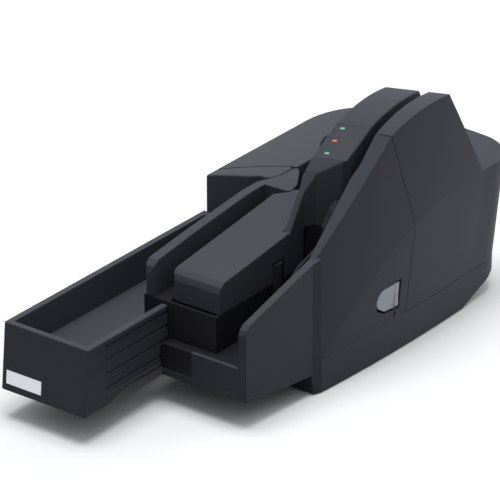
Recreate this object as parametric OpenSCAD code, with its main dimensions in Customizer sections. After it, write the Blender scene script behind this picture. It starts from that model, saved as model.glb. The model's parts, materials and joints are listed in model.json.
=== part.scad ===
// Desktop cheque scanner: feeder at the front right, U-shaped paper track, stacker tray at the front left.
// Datum: X = 0 runs through the centre body, Y = 0 lies at the end of the feeder's slope, Z = 0 is the desk.
// Each piece is drawn on that datum and moved once so that the whole object is centred on the origin.

/* [Case] */
// Height of the seam between the base and the upper covers
seam_z = 27; // [25:0.5:32]
// Underside of the raised front of the base
under_z = 21.5; // [18:0.5:23]
// Distance from the datum to the feeder's front face
feeder_reach = 97; // [90:1:118]
// Distance from the datum to the rear wall
rear_reach = 206; // [204:1:230]
// Distance from the datum to the left side of the case
left_reach = 90; // [80:1:108]
// Wall thickness of the covers
wall = 2.5; // [2:0.1:3]
// Highest line of the crowned rear deck
deck_top = 114; // [108:1:118]
// Radius of the deck's crown
crown_r = 416; // [350:1:500]
// Outward flare of the right wall, in degrees
flare = 5.7; // [3:0.1:7]
// Inward lean of the dark upper facet, in degrees
lean = 3.15; // [2:0.05:4]

/* [Fin] */
// Height of the fin's arched top at the slot
fin_h = 180; // [165:1:200]
// Radius of the arched top, seen from the side
arch_r = 135; // [120:1:160]
// Sideways tilt of the fin's top, in degrees
top_tilt = 9; // [5:0.5:10]
// Width of the central spine
spine_w = 30; // [26:0.5:32]
// Width of the arched part of the right covers
arch_w = 16; // [13:0.5:19]

/* [Paper path] */
// Height of the surface that the cheques' lower edge runs on
track_z = 46; // [42:0.5:50]
// Width of the paper slot
slot_w = 8; // [6.7:0.1:9.6]
// Centre of the straight part of the slot
slot_x = 54; // [52:0.5:56]
// Centre-line radius of the rear turn
turn_r = 50; // [46:0.5:50]

/* [Stacker] */
// Outer width of the stacker tray
tray_w = 74; // [62:0.5:78]
// Distance from the datum to the tray's front face
tray_reach = 181; // [151:1:217]
// Height of the tray's walls
tray_h = 50; // [42:0.5:60]
// Thickness of the tray's walls
tray_wall = 5; // [4:0.1:6]
// Thickness of the divider beside the stacker
divider_t = 8; // [6.5:0.1:9.6]

/* [Rollers] */
// Radius of the driven rollers
drive_r = 8; // [7:0.1:8.5]
// Radius of the pinch rollers
pinch_r = 6; // [5:0.1:6.5]
// Radius of the roller shafts
shaft_r = 2; // [1.7:0.1:2.4]
// Radial clearance of a shaft in its bearing
run_gap = 0.05; // [0.02:0.01:0.1]
// Height of a roller's rubber tyre
tyre_h = 26; // [22:1:30]

/* [Small parts] */
// Width of the release lever's pad
lever_w = 25; // [21:0.5:28]
// Height of the release lever's pad
lever_h = 20; // [17:0.5:24]
// Diameter of the drive motor
motor_d = 36; // [30:1:38]
// Gap between pieces that move past each other
gap = 0.4; // [0.3:0.05:0.6]

/* [Hidden] */
$fn = 64;

dark = [0.16, 0.165, 0.18];
darker = [0.10, 0.105, 0.115];
metal = [0.70, 0.71, 0.73];
rubber = [0.06, 0.06, 0.065];

front_y = -feeder_reach;
rear_y = rear_reach;
left_x = -left_reach;
tray_front = -tray_reach;
big = 600;

// Plan of the right side, at the seam
nose_x = 57.5;
jog = [66, -20];
wall_end = [70.7, 162];
wall_bulge = 2.8;
facet_end = [83.4, 158];
facet_bulge = 7;
rear_corner = 28;

// Slot, spine and turn
slot_l = slot_x - slot_w / 2;
slot_r = slot_x + slot_w / 2;
spine_l = slot_l - spine_w;
arch_x = slot_r + arch_w;
turn_c = [slot_x - turn_r, 145];
turn_in = turn_r - slot_w / 2;
turn_out = turn_r + slot_w / 2;
leg_x = turn_c[0] - turn_r;
exit_x = -27;
exit_y = 80;
deck_y = 85;
bend_y = 100;

// Side profile of the fin and the feeder's wall
arch_y = 104;
fin_back = 118;
fin_foot = [157, 110];
ramp = [[-22, 102.5], [27, 146.5], [51, 168]];
nose_z = 80;

// Hopper
hopper_l = 25;
hopper_r = 51;
throat_r = 56;
deck_t = 3;
frame_z = track_z - deck_t;
block_z = 74;
block_l = -38;
channel_l = -30;
body_l = -17;
body_front = -84;
core_z = 104;
left_front = 50;
apron_x = 9.9;
plate_edge = 65;

// Stacker
tray_r = -17;
tray_l = tray_r - tray_w;
tray_z = under_z;
tray_top = tray_z + tray_h;
tray_floor_z = tray_z + 5;

// Rear hinges
hinge_y = rear_y - 3.5;
hinge_x = [turn_c[0] - 14, turn_c[0] + 14];
pin_r = 1.5;
hinge_step = 3;
knuckle_r = 3;
knuckle_h = 10;
knuckle_z = [50, 90];
panel_half = 46;

// Rollers
nip = 0.15;
tyre_z = 62;
tyre_top = tyre_z + tyre_h;
pulley_z = 30.5;
pulley_h = 8;
pulley_r = 5;
belt_t = 1;
drive_off = drive_r + nip;
pinch_off = pinch_r + nip;
pick_at = [hopper_l + 1.5 - drive_r, -16];
feed_at = [slot_x - drive_off, 44];
retard_at = [slot_x + pinch_off, 44];
drive_at = [slot_x - drive_off, 96];
right_pinch_at = [slot_x + pinch_off, 96];
turn_nip = turn_in + 0.8;
turn_pinch_r = pinch_r + turn_r - turn_nip;
turn_at = turn_c + (turn_nip - nip - drive_r) * [cos(45), sin(45)];
turn_pinch_at = turn_c + (turn_r + pinch_off) * [cos(45), sin(45)];
exit_at = [leg_x + drive_off, 143];
left_pinch_at = [leg_x - pinch_off, 143];
motor_at = [-6, 96];

widest = 79.83;
switch_out = 0.5;
switch_x = turn_c[0];
switch_z = 35.75;
mid_x = (tray_l + widest) / 2;
mid_y = (tray_front + rear_y + switch_out) / 2;

// Points on a shallow curve from a to b that swells to the right by s
function swell(a, b, s, n = 12) = [
    for (k = [0:n])
        let (t = k / n, d = b - a, l = norm(d))
        a + d * t + [d[1], -d[0]] / l * 4 * s * t * (1 - t)
];

// Points on a circle of radius r round c
function turn(c, r, from, to, n = 12) = [
    for (k = [0:n]) c + r * [cos(from + (to - from) * k / n), sin(from + (to - from) * k / n)]
];

// Centre line of the left part of the track, as X for a given Y
function left_leg(y) =
    y >= turn_c[1] ? leg_x
    : y <= bend_y ? exit_x
    : exit_x + (leg_x - exit_x) * (1 - cos(180 * (y - bend_y) / (turn_c[1] - bend_y))) / 2;

function rear_left_corner(i) = turn([left_x + 30, rear_y - 30], 30 - i, 90, 180, 8);

// Plan of the case inside its outer face by i, with the given right side
function case_plan(side, i) = concat(
    [[-16 + i, front_y + i], [nose_x - i, front_y + i], [63 - i, -27], [jog[0] - i, jog[1]]],
    [for (p = side) [p[0] - i, p[1]]],
    turn([side[len(side) - 1][0] - rear_corner, rear_y - rear_corner], rear_corner - i, 0, 90, 8),
    rear_left_corner(i),
    [[left_x + i, left_front + i], [-16 + i, left_front + i]]
);

function wall_side() = swell(jog, wall_end, wall_bulge);
function facet_side() = swell(jog, facet_end, facet_bulge);

module placed() translate([-mid_x, -mid_y, 0]) children();

// Draws a shape given as [Y, Z] along X, from x0 to x1
module along_x(x0, x1) translate([x0, 0, 0]) rotate([90, 0, 90]) linear_extrude(x1 - x0) children();

// Turns a shape about a line along Y through x, z
module tilt_about(x, z, angle) translate([x, 0, z]) rotate([0, angle, 0]) translate([-x, 0, -z]) children();

module slab(z0, z1) translate([0, 0, z0]) linear_extrude(z1 - z0) children();

module rod(at, z0, z1, r) translate([at[0], at[1], z0]) cylinder(h = z1 - z0, r = r);

// Right-hand outer volume: a wall that flares outwards, cut by a facet that leans inwards
module right_volume(i) {
    intersection() {
        tilt_about(jog[0], seam_z, flare) slab(-60, 260) polygon(case_plan(wall_side(), i));
        tilt_about(jog[0], seam_z, -lean) slab(-60, 260) polygon(case_plan(facet_side(), i));
    }
    intersection() {
        slab(0, 140) polygon(case_plan(wall_side(), i));
        translate([-big, -big, 0]) cube([2 * big, big + jog[1] - 1, big]);
    }
}

function arch_z(y) = fin_h - arch_r + sqrt(pow(arch_r, 2) - pow(y - arch_y, 2));

function arch_points(y0, n = 8) = [
    for (k = [0:n]) let (y = y0 + (fin_back - y0) * k / n) [y, arch_z(y)]
];

// Side view of the fin from its front ramp to its rear foot
function fin_points(front, i) = concat(
    [[front[0][0], 0]],
    [for (p = front) [p[0] + i / 4, p[1] - i]],
    [for (p = arch_points(front[len(front) - 1][0] + 2)) [p[0] - i / 3, p[1] - i]],
    [[fin_foot[0] - i, fin_foot[1]], [fin_foot[0] - i, 0]]
);

module fin_slab(front, i) tilt_about(slot_l, 170, -top_tilt) along_x(-120, 200) polygon(fin_points(front, i));

module deck_slab(i, y0, y1) {
    intersection() {
        translate([spine_l, y0, deck_top - crown_r])
            rotate([-90, 0, 0]) cylinder(h = y1 - y0, r = crown_r - i, $fn = 180);
        translate([-200, y0, 0]) cube([400, y1 - y0, 200]);
    }
}

wall_front = concat([[front_y, nose_z - 7], [front_y + 1.5, nose_z - 3], [front_y + 5, nose_z]], ramp);

// Everything outside the paper track, seen from above
function track_outer() = concat(
    [[slot_r, 0], [slot_r, turn_c[1]]],
    turn(turn_c, turn_out, 0, 180, 24),
    [for (k = [0:10]) let (y = turn_c[1] - k * (turn_c[1] - exit_y) / 10) [left_leg(y) - slot_w / 2, y]],
    [[exit_x - slot_w / 2, 0]]
);

function track_inner(i) = concat(
    [[slot_l - i, 34 + i], [slot_l - i, turn_c[1]]],
    turn(turn_c, turn_in - i, 0, 180, 24),
    [for (k = [0:10]) let (y = turn_c[1] - k * (turn_c[1] - deck_y) / 10) [left_leg(y) + slot_w / 2 + i, y]],
    [[-18.5 + i, 72 + i], [-4 + i, 48 + i], [20.3 + i, 48 + i],
        [20.3 + i, 14.4 + 2 * i],
        [30, 21 + 1.2 * i]]
);

// Split between the front and rear right covers, as [Y, Z]
function split_line(d) = [[74 + d, -1], [74 + d, 98], [52 + d, 174], [48 + d, 230]];

module front_of_split(d) along_x(-200, 200) polygon(concat([[-300, -1]], split_line(d), [[-300, 230]]));

module base_case() {
    color(dark) placed() {
        side = [
            [front_y - 1, seam_z], [front_y - 1, under_z], [front_y + 45, under_z - 4.5], [-28, under_z - 6],
            [-26, 0.8], [149, 0.8], [198, 18], [rear_y + 1, 22], [rear_y + 1, seam_z]
        ];
        difference() {
            intersection() {
                slab(0, seam_z) polygon(case_plan(wall_side(), 0));
                along_x(-200, 200) polygon(side);
            }
            difference() {
                intersection() {
                    slab(3.6, seam_z + 1) polygon(case_plan(wall_side(), 3));
                    along_x(-200, 200) polygon([[-22, 3.6], [146, 3.6], [195, 20.8], [rear_y - 4, 24],
                        [rear_y - 4, 40], [-22, 40]]);
                }
                for (p = board_posts) rod(p, 0, 11, 4);
                for (p = frame_posts) rod(p, 0, seam_z, 5);
                rod(motor_at, 0, 5, motor_d / 2 + 2);
            }
            for (p = board_posts) rod(p, 4, 12, 1.25);
            for (p = frame_posts) {
                rod(p, -1, 5, 4);
                rod(p, 0, 30, 1.7);
            }
            rod(motor_at, 4, 6, motor_d / 2 + 0.2);
            for (p = foot_at) rod(p, -1, 2.6, 7.2);
        }
        difference() {
            slab(under_z, tray_floor_z) polygon([[tray_l + 8, 6], [-15, 6], [-15, 53], [tray_l + 8, 53]]);
            for (p = tray_screw_at) {
                rod(p, 20, 30, 1.7);
                rod(p, 20, under_z + 2.5, 3.5);
            }
        }
    }
}

board_posts = [[-53, 60], [-53, 140], [-31, 60], [-31, 140]];
frame_posts = [[-66, 110], [60, 30], [61, 112], [-4, 0], [-20, 136]];
foot_at = [[-72, 76], [-66, 138], [56, -10], [58, 139]];
tray_screw_at = [[-70, 22], [-40, 22]];

module rubber_feet() {
    color(rubber) placed() for (p = foot_at) difference() {
        rod(p, 0, 2.6, 7);
        rod(p, -1, 0.8, 2);
    }
}

module main_frame() {
    color(darker) placed() {
        difference() {
            union() {
                slab(frame_z, track_z) {
                    polygon(front_plate());
                    polygon(rear_plate(0));
                }
                slab(seam_z + 0.1, frame_z + 1) difference() {
                    polygon([[-16, front_y], [apron_x, front_y], [apron_x, -70], [-16, -70]]);
                    polygon([[-13.5, front_y + 2.5], [apron_x - 2.5, front_y + 2.5], [apron_x - 2.5, -60],
                        [-13.5, -60]]);
                }
                slab(track_z - 1, block_z) difference() {
                    polygon(block_plan(0));
                    polygon(block_plan(2.5));
                }
                slab(block_z - 2.5, block_z)
                    polygon([[block_l, -88], [body_l, -88], [body_l, 40], [block_l, 40]]);
                for (p = frame_posts) rod(p, seam_z, track_z, 5);
                pick_bracket();
            }
            for (p = frame_posts) rod(p, 0, track_z - 6, 1.3);
            for (p = driven_at) rod(p, 0, 100, shaft_r + run_gap);
            rod(pick_at, tyre_z - 1, tyre_top + 1, drive_r + 1);
            rod(motor_at, 0, 90, 3);
            rod(plate_pivot, 0, 90, 1.2);
            translate([lever_back - 2.2, 30, 0]) cube([10, 38, 60]);
        }
    }
}

driven_at = [pick_at, feed_at, drive_at, turn_at, exit_at];

// Arm that carries the top of the pick roller's shaft
module pick_bracket() {
    difference() {
        translate([4, pick_at[1] - 8, track_z - 1]) cube([17, 16, tyre_top + 6 - track_z]);
        translate([7, pick_at[1] - 9, track_z]) cube([20, 18, tyre_top + 2 - track_z]);
    }
}

function block_plan(i) = [
    [block_l + i, -88 + i], [hopper_l - i, -88 + i], [hopper_l - i, 14 - i], [20 - i, 14 - i], [20 - i, 40 - i],
    [block_l + i, 40 - i]
];

function front_plate() = [
    [-16, front_y], [apron_x, front_y], [apron_x, front_y + 3.3], [hopper_r - 0.2, front_y + 3.3],
    [throat_r - 0.2, -22], [throat_r - 0.2, 20], [block_l, 20], [block_l, -88], [-16, -88]
];

function rear_plate(g) = concat(
    [[0, 3 - g], [plate_edge + g, 3 - g], [plate_edge + g, wall_end[1] + g]],
    turn(turn_c, turn_out + 1.5 + g, 20, 160, 16),
    [[-82 - g, 176 + g], [-82 - g, left_front + 5 - g], [block_l - g, left_front + 5 - g], [block_l - g, 3 - g]]
);

module inner_guide() {
    color(darker) placed() difference() {
        slab(track_z, core_z) polygon(track_inner(0));
        slab(track_z - 1, core_z - 3) polygon(track_inner(wall));
        for (p = [feed_at, drive_at, turn_at, exit_at]) {
            rod(p, tyre_z - 1, tyre_top + 1, drive_r + 1);
            rod(p, track_z - 1, core_z - 3, shaft_r + 0.5);
            rod(p, 90, core_z + 1, shaft_r + run_gap);
        }
        translate([slot_l - wall - 1, 60.8, 48.8]) cube([wall + 2, 12.4, 10.4]);
        translate([slot_l - wall - 1, 110.3, 48.3]) cube([wall + 2, 9.4, 51.4]);
    }
}

module deck_cover() {
    color(dark) placed() {
        difference() {
            intersection() {
                slab(core_z, 130) polygon(track_inner(0));
                deck_slab(0, 40, rear_y);
            }
            translate([spine_l - gap / 2, 0, 90]) cube([40, fin_foot[0] + gap, 50]);
            translate([-200, 0, 90]) cube([400, 48, 60]);
        }
    }
}

// Top of the centre body, which rises gently towards the rear
body_top = [[body_front, 90], [body_front + 1.5, 94.5], [body_front + 6, 97.2], [25, 110], [44, 112.5]];

module centre_cover() {
    color(dark) placed() difference() {
        intersection() {
            slab(block_z, 130) polygon(centre_plan(0));
            along_x(-200, 200) polygon(concat([[body_front, 0]], body_top, [[48, 112.5], [48, 0]]));
        }
        intersection() {
            slab(block_z - 1, 130) polygon(centre_plan(wall));
            along_x(-200, 200) polygon(concat([[body_front, 0]], [for (p = body_top) [p[0], p[1] - wall]],
                [[48, 110], [48, 0]]));
        }
        rod(pick_at, tyre_z - 1, tyre_top + 1, drive_r + 1);
    }
}

function centre_plan(i) = concat(
    turn([body_l + 5, body_front + 5], 5 - i, 180, 270, 4),
    [[hopper_l - i, body_front + i], [hopper_l - i, -4 - i], [spine_l - gap - i, -4 - i],
        [spine_l - gap - i, 47.6 - i], [-6.5 + i, 47.6 - i], [-8.6 + i, 42], [body_l + i, 34]]
);

spine_front = [[-4, 100], [-4, 109], [22, 149], [29, 156], [57, 171]];

function spine_plan(i) = [
    [spine_l + i, -4 + i], [hopper_l - i, -4 + i], [hopper_l - i, 14 + i], [30 + i / 2, 21 + i],
    [slot_l - 3 - i / 2, 29 + i], [slot_l - i, 34 + i], [slot_l - i, fin_foot[0] - i], [spine_l + i, fin_foot[0] - i]
];

function spine_hollow(i) = [
    [spine_l + i, 19 + i], [29, 22 + i], [slot_l - 4, 30 + i], [slot_l - i, 34 + i], [slot_l - i, fin_foot[0] - i],
    [spine_l + i, fin_foot[0] - i]
];

module spine_body(i) {
    intersection() {
        slab(core_z - i, 260) polygon(i > 0 ? spine_hollow(i) : spine_plan(0));
        fin_slab(spine_front, i);
    }
}

module spine_cover() {
    color(dark) placed() {
        difference() {
            spine_body(0);
            spine_body(wall);
            for (k = [0:2]) lens_hole(k);
        }
        slab(block_z, core_z + 2) polygon([[spine_l, -4], [hopper_l, -4], [hopper_l, 14], [spine_l, 14]]);
    }
}

led_y = [34, 44.5, 55];
led_x = 28;
panel_slope = atan2(spine_front[4][1] - spine_front[3][1], spine_front[4][0] - spine_front[3][0]);

module on_panel(y, x) {
    z = spine_front[3][1] + (y - spine_front[3][0]) * tan(panel_slope);
    tilt_about(slot_l, 170, -top_tilt) translate([x, y, z]) rotate([panel_slope, 0, 0]) children();
}

module lens_hole(k) on_panel(led_y[k], led_x) translate([-2, -1, -5]) cube([4, 2, 10]);

module lens(k) on_panel(led_y[k], led_x) translate([-1.9, -0.9, -3]) cube([3.8, 1.8, 3.4]);

module green_lenses() color([0.45, 0.75, 0.45]) placed() for (k = [0, 2]) lens(k);

module orange_lens() color([0.85, 0.38, 0.22]) placed() lens(1);

module indicator_label() {
    color(dark) placed() difference() {
        on_panel(43, 36.5) translate([-11.5, -15, 0.02]) cube([23, 30, 0.2]);
        for (k = [0:2]) lens_hole(k);
    }
}

// Inner edge of the feeder's wall, seen from above, up to the slot
function feeder_edge(i) = [
    [hopper_r + i, front_y - 1], [throat_r + i, -24], [throat_r + i, 26], [slot_r + i, 34], [slot_r + i, 100]
];

module beyond_edge(i) slab(0, 260) polygon(concat(feeder_edge(i), [[200, 100], [200, front_y - 1]]));

module front_right_cover() {
    color(dark) placed() difference() {
        union() {
            difference() {
                intersection() {
                    right_volume(0);
                    fin_slab(wall_front, 0);
                    beyond_edge(0);
                    front_of_split(0);
                    translate([-big, -big, seam_z + 0.1]) cube(2 * big);
                }
                intersection() {
                    right_volume(wall);
                    fin_slab(wall_front, wall);
                    beyond_edge(wall);
                    translate([-big, -12, 0]) cube(2 * big);
                }
                slab(0, track_z + 0.1) polygon(rear_plate(0.1));
            }
            translate([apron_x + 0.2, front_y, seam_z + 0.1])
                cube([hopper_r - apron_x + 0.8, 3, track_z - seam_z - 0.1]);
            intersection() {
                lever_slab(lever_back - 1.8, 90, 3.4);
                right_volume(0);
            }
            intersection() {
                roller_arms(retard_at);
                right_volume(wall - 0.5);
                beyond_edge(wall - 0.5);
            }
        }
        lever_slab(lever_back, 91, 2);
        rod(lever_turn, 30, 62, 1.2);
        rod(retard_at, tyre_z - 1, tyre_top + 1, pinch_r + 0.8);
        rod(retard_at, tyre_z - 2, tyre_top + 2, shaft_r + 0.5);
        rod(retard_at, tyre_z - 6, tyre_top + 6, shaft_r + run_gap);
    }
}

// Two flat arms above and below a roller, which carry its shaft or pin
module roller_arms(p) {
    for (z = [tyre_z - 5, tyre_top + 2]) translate([p[0] - 10, p[1] - 8, z]) cube([22, 16, 3]);
}

lever_at = [73.3, 62, 47];
lever_turn = [70.6, 60.4];
lever_back = 65;

module lever_shape(d) {
    hull() {
        translate([0, -lever_h / 2 - d]) square([1 + d, lever_h + 2 * d]);
        translate([-lever_w + 9, 2]) circle(r = 8 + d, $fn = 32);
        translate([-lever_w + 13, -3]) circle(r = 6 + d, $fn = 32);
    }
}

// The lever's outline stood up on the side wall, from depth x0 to x1
module lever_slab(x0, x1, d) {
    translate([0, lever_at[1], lever_at[2]]) rotate([90, 0, 90])
        translate([0, 0, x0]) linear_extrude(x1 - x0) lever_shape(d);
}

module release_lever() {
    color([0.58, 0.60, 0.64]) placed() difference() {
        union() {
            intersection() {
                lever_slab(68, 90, 0);
                right_volume(0.4);
            }
            rod(lever_turn, lever_at[2] - 8, lever_at[2] + 8, 3);
        }
        rod(lever_turn, 30, 65, 1.2 + run_gap);
    }
}

module lever_pin() color(metal) placed() rod(lever_turn, lever_at[2] - 13.3, lever_at[2] + 13.3, 1.2);

module front_left_cover() {
    color(dark) placed() difference() {
        intersection() {
            slab(seam_z + 0.1, 130) polygon(exit_plan(0));
            deck_slab(0, 40, rear_y);
        }
        intersection() {
            slab(0, 130) polygon(exit_plan(wall));
            deck_slab(wall, 40, rear_y);
        }
        slab(0, track_z + 0.1) polygon(rear_plate(0.1));
    }
}

function exit_plan(i) = [
    [left_x + i, left_front + 1 + i], [-54, 54 + i], [-46, 58 + i], [-40, 56 + i], [-36 - i, 58 + i],
    [exit_x - slot_w / 2 - 2 - i, 64 + i], [exit_x - slot_w / 2 - 2 - i, 79 - i], [-36, 81 - i],
    [-66, 71.5 - i], [left_x + i, 64 - i]
];

module left_cover_body(i) {
    intersection() {
        difference() {
            slab(seam_z + gap, 130) polygon(case_plan(wall_side(), i));
            slab(0, 200) polygon(track_region(i));
        }
        deck_slab(i, 40, rear_y + 1);
        slab(0, 200) polygon([[left_x - 1, 64.5 + i], [-66, 72 + i], [-36, 81.5 + i], [-30, 81.5 + i],
            [hinge_x[0] - hinge_step - 2 - i, 120], [hinge_x[0] - hinge_step - 2 - i, rear_y + 1],
            [left_x - 1, rear_y + 1]]);
    }
}

// Region inside the outer face of the track, grown by i
function track_region(i) = concat(
    [[slot_r + i, 0], [slot_r + i, turn_c[1]]],
    turn(turn_c, turn_out + i, 0, 180, 24),
    [for (k = [0:10]) let (y = turn_c[1] - k * (turn_c[1] - exit_y) / 10) [left_leg(y) - slot_w / 2 - i, y]],
    [[exit_x - slot_w / 2 - i, 0]]
);

module knuckles(side) {
    for (z = knuckle_z) {
        rod([hinge_x[side], hinge_y], z, z + knuckle_h, knuckle_r);
        translate([hinge_x[side] - (side == 0 ? 9 : 0), hinge_y - 1.5, z]) cube([9, 3.5, knuckle_h]);
    }
}

module hinge_bores(side, r) rod([hinge_x[side], hinge_y], 30, 120, r);

module socket_bay() translate([-panel_half - gap, 150, 0]) cube([2 * panel_half + 2 * gap, 100, track_z + gap]);

module rear_left_cover() {
    color(dark) placed() difference() {
        union() {
            difference() {
                left_cover_body(0);
                left_cover_body(wall);
                slab(0, track_z + gap) polygon(rear_plate(gap));
                socket_bay();
            }
            intersection() {
                roller_arms(left_pinch_at);
                left_cover_body(wall - 0.5);
            }
            knuckles(0);
        }
        hinge_bores(0, pin_r + run_gap);
        rod(left_pinch_at, tyre_z - 2, tyre_top + 2, pinch_r + 1);
        rod(left_pinch_at, tyre_z - 6, tyre_top + 6, pin_r);
    }
}

module rear_right_body(i) {
    intersection() {
        difference() {
            right_volume(i);
            slab(0, 260) polygon(track_region(i));
        }
        union() {
            fin_slab(wall_front, i);
            deck_slab(i, 100, rear_y + 1);
        }
        difference() {
            translate([hinge_x[1] + hinge_step + 2 + i, 0, seam_z + (i > 0 ? -1 : gap)]) cube(big);
            front_of_split(0.5 + i);
        }
    }
}

module rear_right_cover() {
    color(dark) placed() difference() {
        union() {
            difference() {
                rear_right_body(0);
                rear_right_body(wall);
                slab(0, track_z + gap) polygon(rear_plate(gap));
                socket_bay();
            }
            for (p = [right_pinch_at, turn_pinch_at]) intersection() {
                roller_arms(p);
                rear_right_body(wall - 0.5);
            }
            knuckles(1);
        }
        hinge_bores(1, pin_r + run_gap);
        rod(right_pinch_at, tyre_z - 2, tyre_top + 2, pinch_r + 1);
        rod(turn_pinch_at, tyre_z - 2, tyre_top + 2, turn_pinch_r + 1);
        for (p = [right_pinch_at, turn_pinch_at]) rod(p, tyre_z - 6, tyre_top + 6, pin_r);
    }
}

module rear_panel() {
    color(dark) placed() difference() {
        union() {
            translate([-panel_half, rear_y - wall, seam_z + 0.1])
                cube([2 * panel_half, wall, track_z - seam_z - 0.1]);
            intersection() {
                translate([hinge_x[0] - hinge_step, turn_c[1], track_z + 0.1])
                    cube([hinge_x[1] - hinge_x[0] + 2 * hinge_step, rear_y - turn_c[1], 100]);
                difference() {
                    slab(0, 200) polygon(case_plan(wall_side(), 0));
                    slab(0, 200) polygon(track_region(0));
                }
                deck_slab(0, 100, rear_y + 1);
            }
            translate([hinge_x[0] - hinge_step, rear_y - 5, track_z - 2])
                cube([hinge_x[1] - hinge_x[0] + 2 * hinge_step, 5, 4]);
        }
        for (side = [0, 1], z = knuckle_z) {
            rod([hinge_x[side], hinge_y], z - gap, z + knuckle_h + gap, knuckle_r + 1.6);
            translate([hinge_x[side] - (side == 0 ? 8 : 0), hinge_y - 5, z - gap])
                cube([8, 10, knuckle_h + 2 * gap]);
        }
        for (side = [0, 1]) rod([hinge_x[side], hinge_y], 46.5, knuckle_z[1] + knuckle_h + 5, pin_r);
        translate([-34, rear_y - 5, 31]) cube([9, 10, 8]);
        translate([switch_x - 10, rear_y - 5, 29.5]) cube([20, 10, 12.5]);
        translate([22, rear_y - 5, 30]) cube([13, 10, 11]);
    }
}

module hinge_pins() {
    color(metal) placed() for (side = [0, 1])
        rod([hinge_x[side], hinge_y], 46.7, knuckle_z[1] + knuckle_h + 4.8, pin_r);
}

divider_top = [[-88, 90], [-86.5, 96], [-82, 100], [-40, 105.5], [22, 112], [60, 113], [81, 113]];
pad = [[-29, 41], [-9.8, 41.5], [-8.2, 45], [-10.6, 54.2], [-23.5, 74.3], [-26.5, 76], [-28.4, 75], [-28.6, 60],
    [-37, 40.3]];

module pocket_divider() {
    color(dark) placed() intersection() {
        union() {
            slab(block_z, 130) {
                polygon(concat(turn([block_l + divider_t / 2, -84], divider_t / 2, 180, 360, 8),
                    [[block_l + divider_t, 38], [block_l + divider_t + 1, 42], [block_l + 1, 42]]));
                polygon(pad);
            }
            slab(track_z, block_z + 1) polygon(concat([[-37, 40.3], [-11.8, 40.3]], [for (k = [1:7]) pad[k]]));
        }
        along_x(-100, 40) polygon(concat([[-88, 0]], divider_top, [[81, 0]]));
    }
}

module tray_side(z0, z1, i) {
    along_x(tray_l + i, tray_r - i) polygon([
        [tray_front + i, z0], [tray_front + 5 + i, z1], [left_front - 1 - i, z1], [left_front - 1 - i, z0]
    ]);
}

module stacker_tray() {
    color(dark) placed() difference() {
        intersection() {
            tray_side(tray_z, tray_top, 0);
            along_x(-200, 0) polygon([
                [tray_front - 1, tray_z - 1], [tray_front + 26, tray_z - 1], [tray_front + 26, tray_z],
                [tray_front + 43, tray_floor_z], [left_front + 1, tray_floor_z], [left_front + 1, tray_top + 1],
                [tray_front - 1, tray_top + 1]
            ]);
        }
        tray_side(track_z, tray_top + 1, tray_wall);
        translate([tray_l + tray_wall, tray_front + 8, 0]) cube([tray_w - 2 * tray_wall, 165, track_z - 3]);
        translate([block_l - 0.3, -88.3, track_z]) cube([40, 200, 60]);
        translate([-16.2 - 25, -88.3, frame_z - 0.3]) translate([25.2 - 22, 0, 0]) cube([40, 200, 60]);
        translate([-40, -88.3, frame_z - 0.3]) cube([40, 200, 60]);
        groove_panel();
        for (p = tray_screw_at) rod(p, 20, 38, 1.3);
    }
}

// Recessed panel with four grooves on the right wall
module groove_panel() {
    translate([tray_r - 0.8, tray_front + 24, tray_z + 8]) cube([2, 68, tray_h - 12]);
    for (k = [0:3])
        translate([tray_r - 1.8, tray_front + 24, tray_z + 12 + 10.7 * k]) cube([3, 90, 1.6]);
}

module blank_plate() {
    color([0.92, 0.93, 0.95]) placed() intersection() {
        translate([-87, tray_front - 1, 27]) cube([31, 20, 10]);
        difference() {
            translate([0, -0.3, 0]) tray_side(tray_z, tray_top, 0);
            translate([0, -0.02, 0]) tray_side(tray_z, tray_top, 0);
        }
    }
}

plate_pivot = [53, 20];

module pressure_plate() {
    color([0.20, 0.205, 0.22]) placed() {
        difference() {
            union() {
                rod(plate_pivot, track_z + gap, 114, 2.6);
                translate([plate_pivot[0] - 2, 0, 0]) rotate([90, 0, 90]) linear_extrude(2)
                    polygon([[-44, track_z + 1], [plate_pivot[1], track_z + 1], [plate_pivot[1], 114],
                        [-30, 98], [-44, 88]]);
                translate([46, 5, 110]) rotate([0, 0, 0]) rotate([90, 0, 90]) linear_extrude(6)
                    polygon([[0, 0], [17, 0], [17, 19], [9, 15], [0, 4]]);
            }
            rod(plate_pivot, 40, 140, 1.2 + run_gap);
        }
    }
}

module pressure_pivot() color(metal) placed() rod(plate_pivot, frame_z + 0.2, 112, 1.2);

module driven_roller(p) {
    rod(p, tyre_z, tyre_top, drive_r);
    rod(p, pulley_z, p == pick_at ? tyre_top + 4.5 : core_z - 0.5, shaft_r);
    rod(p, pulley_z, pulley_z + pulley_h, pulley_r);
}

module pick_roller() color(rubber) placed() driven_roller(pick_at);

module feed_roller() color(rubber) placed() driven_roller(feed_at);

module turn_roller() color(rubber) placed() driven_roller(turn_at);

module exit_roller() color(rubber) placed() driven_roller(exit_at);

module drive_roller() color(rubber) placed() driven_roller(drive_at);

module retard_roller() {
    color(rubber) placed() {
        rod(retard_at, tyre_z, tyre_top, pinch_r);
        rod(retard_at, tyre_z - 4.8, tyre_top + 4.8, shaft_r);
    }
}

module pinch_roller(p, r) difference() {
    rod(p, tyre_z, tyre_top, r);
    rod(p, tyre_z - 1, tyre_top + 1, pin_r + run_gap);
}

module right_pinch_roller() color(rubber) placed() pinch_roller(right_pinch_at, pinch_r);

module turn_pinch_roller() color(rubber) placed() pinch_roller(turn_pinch_at, turn_pinch_r);

module left_pinch_roller() color(rubber) placed() pinch_roller(left_pinch_at, pinch_r);

module right_pinch_pins() {
    color(metal) placed() for (p = [right_pinch_at, turn_pinch_at])
        rod(p, tyre_z - 4.8, tyre_top + 4.8, pin_r);
}

module left_pinch_pin() color(metal) placed() rod(left_pinch_at, tyre_z - 4.8, tyre_top + 4.8, pin_r);

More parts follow.
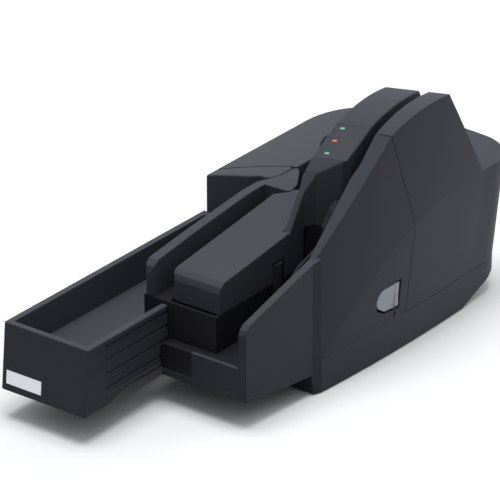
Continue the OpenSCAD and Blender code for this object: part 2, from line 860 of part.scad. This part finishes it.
module drive_motor() {
    color(metal) placed() {
        rod(motor_at, 4, seam_z + 1, motor_d / 2);
        rod(motor_at, seam_z, 33, 1.5);
    }
}

module motor_pulley() {
    color(metal) placed() difference() {
        rod(motor_at, pulley_z, pulley_z + pulley_h, pulley_r);
        rod(motor_at, 20, 36, 1.5 + run_gap);
    }
}

function loop_2d(a, b, r) =
    let (t = atan2(b[1] - a[1], b[0] - a[0]))
    concat(turn(a, r, t + 90, t + 270, 16), turn(b, r, t - 90, t + 90, 16));

// Five belts on two levels join the motor and the driven rollers
module drive_belts() {
    pairs = [[motor_at, drive_at, 0], [drive_at, turn_at, 1], [turn_at, exit_at, 0], [motor_at, pick_at, 1],
        [pick_at, feed_at, 0]];
    color(rubber) placed() for (b = pairs)
        difference() {
            slab(pulley_z + 0.7 + 3.6 * b[2], pulley_z + 3.7 + 3.6 * b[2])
                polygon(loop_2d(b[0], b[1], pulley_r + 0.3 + belt_t));
            slab(pulley_z, pulley_z + 9) polygon(loop_2d(b[0], b[1], pulley_r + 0.3));
        }
}

module main_board() {
    color([0.1, 0.35, 0.2]) placed() difference() {
        translate([-57, 56, 11]) cube([30, 88, 1.6]);
        for (p = board_posts) rod(p, 8, 15, 1.6);
    }
}

module usb_socket() color(metal) placed() translate([22.2, rear_y - 15, 30.2]) cube([12.6, 14.5, 10.6]);

module power_jack() {
    color(rubber) placed() difference() {
        translate([-33.8, rear_y - 14, 31.2]) cube([8.6, 13.5, 7.6]);
        translate([-29.5, rear_y - 11, 35]) rotate([-90, 0, 0]) cylinder(h = 20, r = 2.75);
    }
}

module power_switch() {
    color(rubber) placed() difference() {
        translate([switch_x - 9.7, rear_y - 4, switch_z - 5.25]) cube([19.4, 4 + switch_out, 10.5]);
        translate([switch_x - 12, rear_y - 2, switch_z]) rotate([0, 90, 0]) cylinder(h = 24, r = 1);
    }
}

module magnetic_head() color(metal) placed() translate([slot_l - 8, 61, 49]) cube([8, 12, 10]);

module front_image_sensor() color(rubber) placed() translate([slot_l - 12, 110.5, 48.5]) cube([12, 9, 51]);

module rear_image_sensor() color(rubber) placed() translate([slot_r + wall + 0.1, 118, 48]) cube([8, 9, 60]);

module ink_cartridge() color(rubber) placed() translate([slot_r + wall + 0.2, 77.3, 50]) cube([8.5, 10.4, 34]);

module frame_screws() {
    color(metal) placed() for (p = frame_posts) {
        rod(p, 2, 5, 3);
        rod(p, 4, 34, 1.3);
    }
}

module tray_screws() {
    color(metal) placed() for (p = tray_screw_at) {
        rod(p, under_z, under_z + 2.5, 3);
        rod(p, under_z + 2, 36, 1.3);
    }
}

module base_screws() {
    color(metal) placed() for (p = board_posts) {
        rod(p, 12.6, 14.4, 2.6);
        rod(p, 5, 13, 1.25);
    }
}

base_case();
rubber_feet();
main_frame();
inner_guide();
deck_cover();
centre_cover();
spine_cover();
front_right_cover();
front_left_cover();
pocket_divider();
stacker_tray();
blank_plate();
indicator_label();
green_lenses();
orange_lens();
rear_panel();
hinge_pins();
rear_right_cover();
rear_left_cover();
release_lever();
lever_pin();
pressure_plate();
pressure_pivot();
pick_roller();
feed_roller();
retard_roller();
turn_roller();
exit_roller();
drive_roller();
right_pinch_roller();
turn_pinch_roller();
left_pinch_roller();
right_pinch_pins();
left_pinch_pin();
drive_motor();
motor_pulley();
drive_belts();
main_board();
usb_socket();
power_jack();
power_switch();
magnetic_head();
front_image_sensor();
rear_image_sensor();
ink_cartridge();
frame_screws();
tray_screws();
base_screws();
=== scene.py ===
import json
import math
import bpy
from mathutils import Matrix, Vector

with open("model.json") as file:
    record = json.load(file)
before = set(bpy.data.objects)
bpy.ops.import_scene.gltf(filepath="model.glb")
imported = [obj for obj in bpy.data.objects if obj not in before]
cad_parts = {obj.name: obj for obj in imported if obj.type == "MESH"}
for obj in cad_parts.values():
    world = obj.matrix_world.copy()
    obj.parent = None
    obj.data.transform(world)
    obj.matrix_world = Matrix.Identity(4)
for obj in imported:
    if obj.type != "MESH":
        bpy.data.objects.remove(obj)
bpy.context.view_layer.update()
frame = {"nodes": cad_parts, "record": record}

nodes = frame["nodes"]
scene = bpy.context.scene
scene.view_settings.view_transform = "Standard"


# ---------------------------------------------------------------- camera
# Fitted to the object's straight edges in the photograph, in metres and photo pixels.
AZIMUTH, ELEVATION = math.radians(37.0), math.radians(25.8)
TARGET = Vector((0.035585, -0.13775, 0.046))
DISTANCE = 2.7448
SHIFT_RIGHT, SHIFT_UP = 0.0417, 0.0862
FOCAL_PX, PHOTO_PX = 4012.9, 500.0
SENSOR_MM = 36.0
FARTHEST = 60.0

back = Vector((
    math.sin(AZIMUTH) * math.cos(ELEVATION),
    -math.cos(AZIMUTH) * math.cos(ELEVATION),
    math.sin(ELEVATION),
))
right = Vector((math.cos(AZIMUTH), math.sin(AZIMUTH), 0.0))
up = Vector((
    -math.sin(AZIMUTH) * math.sin(ELEVATION),
    math.cos(AZIMUTH) * math.sin(ELEVATION),
    math.cos(ELEVATION),
))
cam_data = bpy.data.cameras.new("camera")
cam_data.sensor_width = SENSOR_MM
cam_data.lens = FOCAL_PX / PHOTO_PX * SENSOR_MM
cam_data.clip_end = FARTHEST
cam = bpy.data.objects.new("camera", cam_data)
scene.collection.objects.link(cam)
turn = Matrix((right, up, back)).transposed().to_4x4()
place = TARGET + back * DISTANCE + right * SHIFT_RIGHT + up * SHIFT_UP
cam.matrix_world = Matrix.Translation(place) @ turn
scene.camera = cam


# ---------------------------------------------------------------- shader helpers
def add(tree, kind, values=None):
    """A new shader node, with the values of its unlinked inputs."""
    made = tree.nodes.new("ShaderNode" + kind)
    for socket, value in (values or {}).items():
        made.inputs[socket].default_value = value
    return made


def remap(tree, source, to_min, to_max, from_min=0.0, from_max=1.0):
    """A map range node fed by the source."""
    limits = {"From Min": from_min, "From Max": from_max, "To Min": to_min, "To Max": to_max}
    ramp = add(tree, "MapRange", limits)
    tree.links.new(source, ramp.inputs["Value"])
    return ramp


def seen_by_eye(tree):
    """1 for rays that show the background: camera, glossy and transmission rays."""
    path = add(tree, "LightPath")
    total = path.outputs["Is Camera Ray"]
    for ray in ("Is Glossy Ray", "Is Transmission Ray"):
        most = add(tree, "Math")
        most.operation = "MAXIMUM"
        tree.links.new(total, most.inputs[0])
        tree.links.new(path.outputs[ray], most.inputs[1])
        total = most.outputs[0]
    return total


# ---------------------------------------------------------------- materials
TONE_SCALE, TONE_DETAIL = 14.0, 3.0  # slow changes of tone over a piece
GRAIN_DETAIL = 2.0
GRAIN_DEPTH = 0.0002
ROUGH_SPREAD = 0.05
SMOOTHEST = 0.02
EDGE_SAMPLES = 6


def material(name, color, rough, bump=0.0, grain=900.0, vary=0.06, spec=0.5, metallic=0.0, edge=0.0):
    """A moulded or turned surface.

    It has slow tone changes and a fine grain in its roughness. With bump the grain
    also stands out, and with edge too its shading rounds edges by that radius.
    """
    m = bpy.data.materials.new(name)
    m.use_nodes = True
    tree = m.node_tree
    link = tree.links.new
    shader = tree.nodes["Principled BSDF"]
    spot = add(tree, "TexCoord").outputs["Object"]
    slow = add(tree, "TexNoise", {"Scale": TONE_SCALE, "Detail": TONE_DETAIL})
    fine = add(tree, "TexNoise", {"Scale": grain, "Detail": GRAIN_DETAIL})
    for noise in (slow, fine):
        link(spot, noise.inputs["Vector"])

    tone = add(tree, "Mix")
    tone.data_type = "RGBA"
    tone.blend_type = "MULTIPLY"
    tone.inputs["Factor"].default_value = 1.0
    tone.inputs["A"].default_value = (*color, 1.0)
    link(remap(tree, slow.outputs["Fac"], 1.0 - vary, 1.0 + vary).outputs["Result"], tone.inputs["B"])
    link(tone.outputs["Result"], shader.inputs["Base Color"])

    low, high = max(SMOOTHEST, rough - ROUGH_SPREAD), min(1.0, rough + ROUGH_SPREAD)
    link(remap(tree, fine.outputs["Fac"], low, high).outputs["Result"], shader.inputs["Roughness"])
    shader.inputs["Specular IOR Level"].default_value = spec
    shader.inputs["Metallic"].default_value = metallic
    if bump:
        relief = add(tree, "Bump", {"Strength": bump, "Distance": GRAIN_DEPTH})
        link(fine.outputs["Fac"], relief.inputs["Height"])
        link(relief.outputs["Normal"], shader.inputs["Normal"])
        if edge:
            soft = add(tree, "Bevel", {"Radius": edge})
            soft.samples = EDGE_SAMPLES
            link(soft.outputs["Normal"], relief.inputs["Normal"])
    return m


MAT = {
    "case": material("case_plastic", (0.06, 0.0635, 0.077), 0.52,
                     bump=0.3, grain=1500.0, spec=0.07, edge=0.0013),
    # The inner parts' own black plastic, made darker still as painted shade inside the hopper and the
    # throat.
    "inner_plastic": material("inner_plastic", (0.017, 0.0175, 0.021), 0.55,
                              bump=0.12, spec=0.12, edge=0.0006),
    "lever_plastic": material("lever_plastic", (0.42, 0.445, 0.5), 0.5,
                              bump=0.15, spec=0.2, edge=0.0009),
    "plate": material("plate", (0.93, 0.95, 0.98), 0.28, grain=30.0, vary=0.01, metallic=0.55),
    "green_lens": material("green_lens", (0.2, 0.5, 0.27), 0.2, vary=0.02),
    "orange_lens": material("orange_lens", (0.62, 0.2, 0.1), 0.2, vary=0.02),
    "label": material("label_film", (0.047, 0.0505, 0.062), 0.42, bump=0.06, vary=0.02, spec=0.2),
    "steel": material("turned_steel", (0.56, 0.56, 0.58), 0.3, metallic=1.0, vary=0.04),
    "black_steel": material("black_steel", (0.03, 0.03, 0.032), 0.5, metallic=0.7, vary=0.04),
    "motor": material("motor_shell", (0.3, 0.3, 0.32), 0.4, metallic=0.6),
    "soft_rubber": material("soft_rubber", (0.03, 0.03, 0.032), 0.75, bump=0.3, spec=0.3),
    "board": material("board", (0.04, 0.2, 0.09), 0.35),
}
# The lever's pin shows beside the lever, so it is blackened there.
OWN_MATERIAL = {"lever_pin": "black_steel"}
slots = {s["node"]: s["material_slot"] for s in frame["record"]["subparts"]}
for name, obj in nodes.items():
    obj.data.materials.clear()
    obj.data.materials.append(MAT[OWN_MATERIAL.get(name, slots[name])])


# ---------------------------------------------------------------- edges
# Radius per piece, small enough that no vertex ends more than 0.4 mm off the packed
# surface. The front right cover and the lever have corners that take none, and the
# small and hidden pieces are left as packed.
ROUND = {
    "front_left_cover": 0.001,
    "spine_cover": 0.001,
    "deck_cover": 0.0008,
    "centre_cover": 0.0006,
    "stacker_tray": 0.0005,
    "pressure_plate": 0.0003,
    "inner_guide": 0.0002,
    "base_case": 0.0002,
    "rear_panel": 0.0002,
    "rear_right_cover": 0.0002,
    "rear_left_cover": 0.0002,
    "pocket_divider": 0.0002,
    "main_frame": 0.0001,
}
WELD_WITHIN = 0.000002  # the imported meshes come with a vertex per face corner
ROUND_STEPS = 3
ROUND_ABOVE = math.radians(35)
for name, radius in ROUND.items():
    obj = nodes[name]
    obj.modifiers.new("weld", "WELD").merge_threshold = WELD_WITHIN
    bevel = obj.modifiers.new("edges", "BEVEL")
    bevel.width = radius
    bevel.segments = ROUND_STEPS
    bevel.limit_method = "ANGLE"
    bevel.angle_limit = ROUND_ABOVE
    bevel.use_clamp_overlap = False
    bevel.harden_normals = True
    obj.modifiers.new("normals", "WEIGHTED_NORMAL").keep_sharp = True


# ---------------------------------------------------------------- floor
FLOOR_HALF, FLOOR_Z = 12.0, -0.0002
FLOOR_SEEN = (0.93, 0.93, 0.93, 1)
# A painted pool of light lies on the floor at the object's right rear, seen only by light bounced
# onto the object: it lights the lower right wall from below, while the rest of the floor throws
# little light back; the eye sees the floor plain.
PAINTED_BOUNCE_CENTRE = (0.27, 0.16, 0.0)
PAINTED_BOUNCE_INNER, PAINTED_BOUNCE_OUTER = 0.1, 0.3
PAINTED_BOUNCE_WHITE, FLOOR_BOUNCE = 0.9, 0.12

floor_mesh = bpy.data.meshes.new("floor")
corners = [(x * FLOOR_HALF, y * FLOOR_HALF, FLOOR_Z) for x, y in ((-1, -1), (1, -1), (1, 1), (-1, 1))]
floor_mesh.from_pydata(corners, [], [(0, 1, 2, 3)])
floor = bpy.data.objects.new("floor", floor_mesh)
scene.collection.objects.link(floor)

floor_material = bpy.data.materials.new("floor")
floor_material.use_nodes = True
tree = floor_material.node_tree
pale = tree.nodes["Principled BSDF"]
pale.inputs["Base Color"].default_value = FLOOR_SEEN
pale.inputs["Roughness"].default_value = 0.9
pale.inputs["Specular IOR Level"].default_value = 0.1

near = add(tree, "VectorMath")
near.operation = "DISTANCE"
near.inputs[1].default_value = PAINTED_BOUNCE_CENTRE
tree.links.new(add(tree, "NewGeometry").outputs["Position"], near.inputs[0])
# Painted bounce light: the floor's bounce colour is white near the patch centre and falls to the dim
# floor bounce further out.
painted_bounce = remap(tree, near.outputs["Value"], PAINTED_BOUNCE_WHITE, FLOOR_BOUNCE, PAINTED_BOUNCE_INNER, PAINTED_BOUNCE_OUTER)
painted_bounce.interpolation_type = "SMOOTHSTEP"
tint = add(tree, "CombineColor")
for channel in ("Red", "Green", "Blue"):
    tree.links.new(painted_bounce.outputs["Result"], tint.inputs[channel])
bounce = add(tree, "BsdfDiffuse")
tree.links.new(tint.outputs["Color"], bounce.inputs["Color"])

pick = add(tree, "MixShader")
tree.links.new(seen_by_eye(tree), pick.inputs["Fac"])
tree.links.new(bounce.outputs["BSDF"], pick.inputs[1])
tree.links.new(pale.outputs["BSDF"], pick.inputs[2])
tree.links.new(pick.outputs["Shader"], tree.nodes["Material Output"].inputs["Surface"])
floor.data.materials.append(floor_material)


# ---------------------------------------------------------------- sky and lamps
# The eye sees plain white; the object is lit by a sky that grows from nothing at the
# horizon to its full strength overhead.
SKY_OVERHEAD = 0.8
SKY_COLOR = (0.94, 0.97, 1.0, 1)

world = bpy.data.worlds.new("studio")
scene.world = world
world.use_nodes = True
tree = world.node_tree
tree.nodes.clear()
white = add(tree, "Background", {"Color": (1, 1, 1, 1), "Strength": 1.0})
sky = add(tree, "Background", {"Color": SKY_COLOR})
split = add(tree, "SeparateXYZ")
tree.links.new(add(tree, "TexCoord").outputs["Generated"], split.inputs["Vector"])
fade = remap(tree, split.outputs["Z"], 0.0, SKY_OVERHEAD)
tree.links.new(fade.outputs["Result"], sky.inputs["Strength"])
mix = add(tree, "MixShader")
tree.links.new(seen_by_eye(tree), mix.inputs["Fac"])
tree.links.new(sky.outputs["Background"], mix.inputs[1])
tree.links.new(white.outputs["Background"], mix.inputs[2])
tree.links.new(mix.outputs["Shader"], add(tree, "OutputWorld").inputs["Surface"])


def lamp(name, at, aim, size, watts):
    """A white disk lamp that faces its aim."""
    data = bpy.data.lights.new(name, "AREA")
    data.shape = "DISK"
    data.size = size
    data.energy = watts
    obj = bpy.data.objects.new(name, data)
    obj.location = at
    obj.rotation_euler = (Vector(aim) - Vector(at)).to_track_quat("-Z", "Y").to_euler()
    scene.collection.objects.link(obj)


lamp("top", at=(0.0, -0.1, 2.4), aim=(0, 0, 0.05), size=1.4, watts=38)
lamp("rear", at=(0.9, 2.6, 0.8), aim=(0.05, 0.1, 0.1), size=1.0, watts=22)
